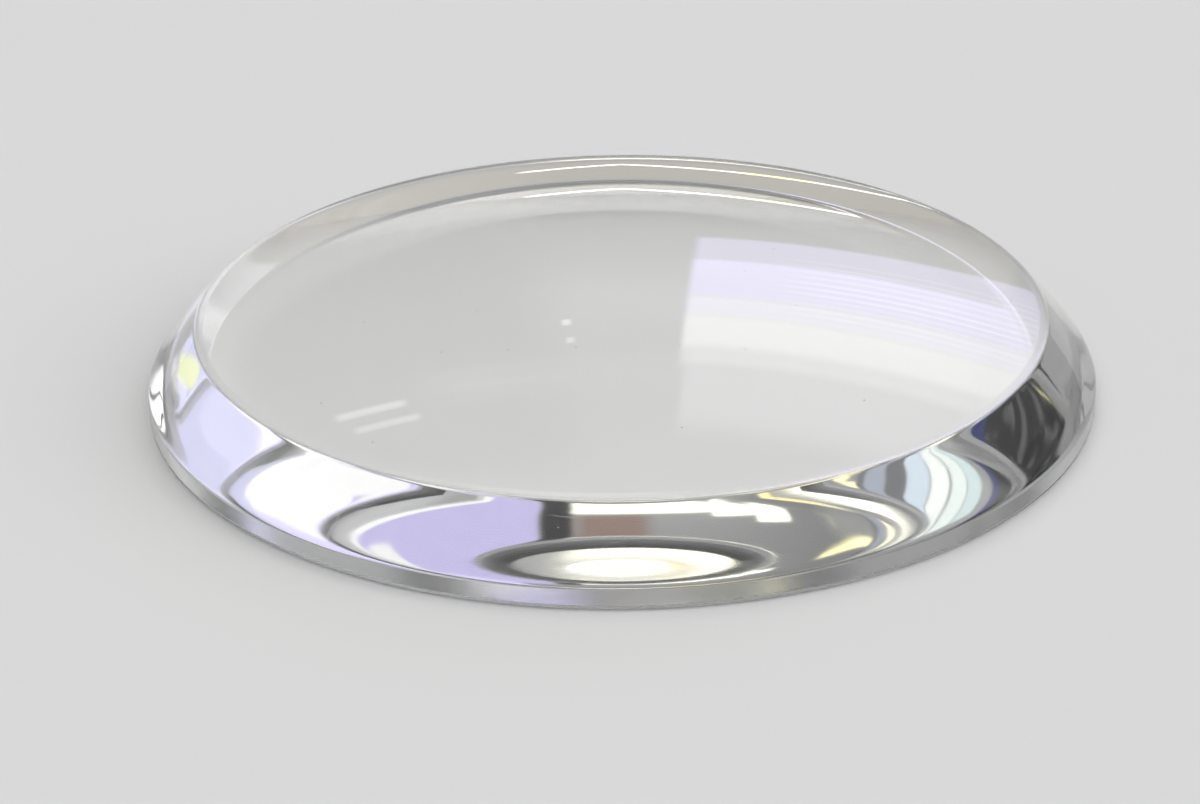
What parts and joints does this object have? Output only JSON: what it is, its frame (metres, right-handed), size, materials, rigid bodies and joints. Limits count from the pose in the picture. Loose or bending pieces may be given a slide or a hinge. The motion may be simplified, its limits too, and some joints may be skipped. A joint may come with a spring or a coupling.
{
  "type": "watch crystal",
  "caption": "Round domed watch crystal in clear glass, with a sloping, outward-curving flank, a short cylindrical rim, a narrow flat seat ring and a hollow underside.",
  "frame": {"origin": "on the axis, in the plane of the flat seat ring on the underside", "axes": "+Z along the axis of the disc, from the seat towards the top of the dome; X and Y lie in the seat plane and are free, because the disc is round"},
  "size_m": [0.0315, 0.0314, 0.0041],
  "materials": {
    "clear_glass": "clear, polished on every face and on the rounded edges"
  },
  "bodies": {
    "root": {"crystal": "clear_glass"}
  },
  "joints": []
}
